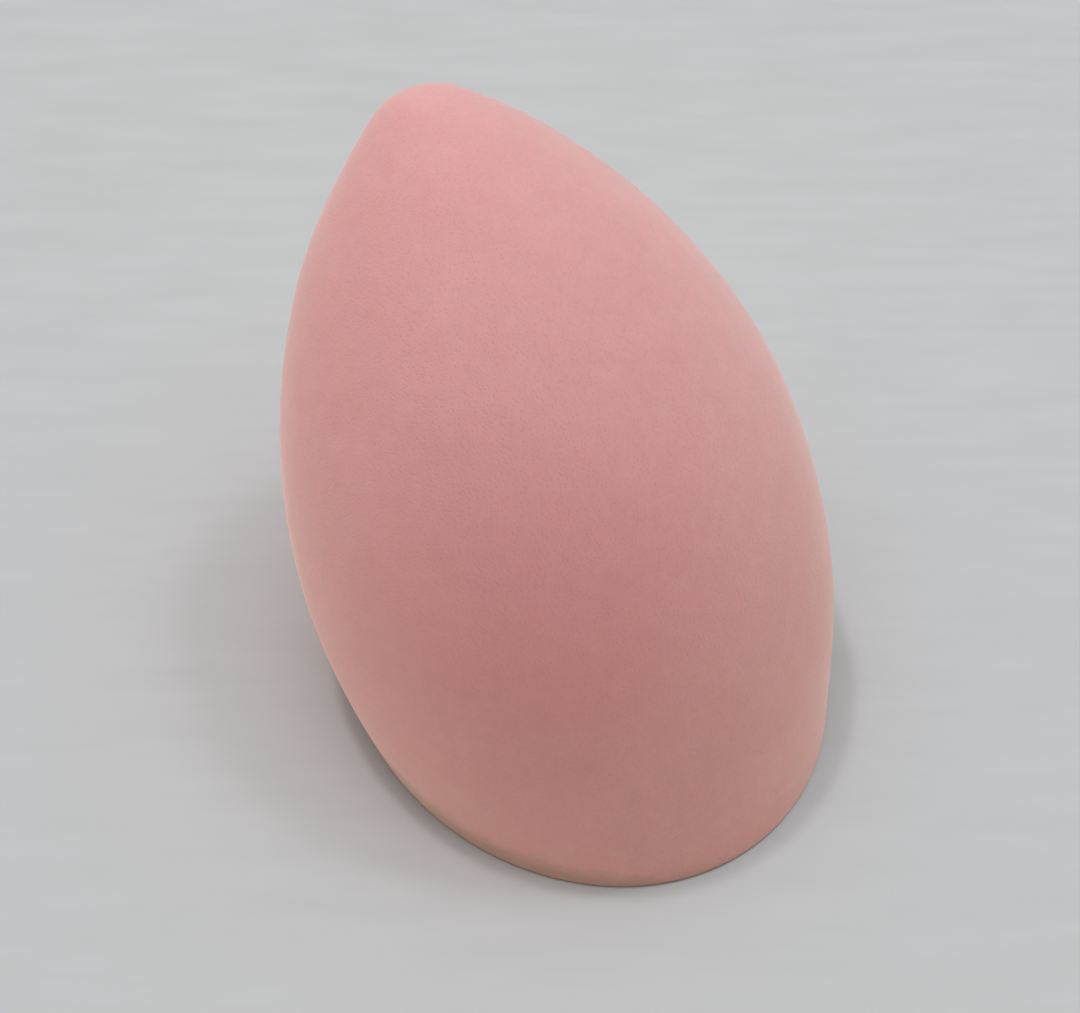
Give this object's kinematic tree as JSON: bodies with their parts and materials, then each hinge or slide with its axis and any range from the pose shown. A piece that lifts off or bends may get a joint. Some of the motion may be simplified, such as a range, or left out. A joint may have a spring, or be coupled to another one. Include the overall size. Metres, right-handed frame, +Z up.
{
  "type": "makeup sponge",
  "caption": "Teardrop foam makeup sponge with a rounded tip and a slanted flat face across its wide end, for dabbing and blending make-up. It stands on the flat face, leaning.",
  "frame": {"origin": "where the sponge's own axis meets the flat face it stands on", "axes": "+Z up out of the flat face; the tip leans towards -X; the XZ plane is the plane of symmetry"},
  "size_m": [0.049, 0.04, 0.0426],
  "materials": {
    "foam": "open-cell polyurethane foam, matte",
    "skin": "fine moulded foam skin, matte and velvety"
  },
  "bodies": {
    "root": {"foam_core": "foam", "moulded_skin": "skin"}
  },
  "joints": []
}
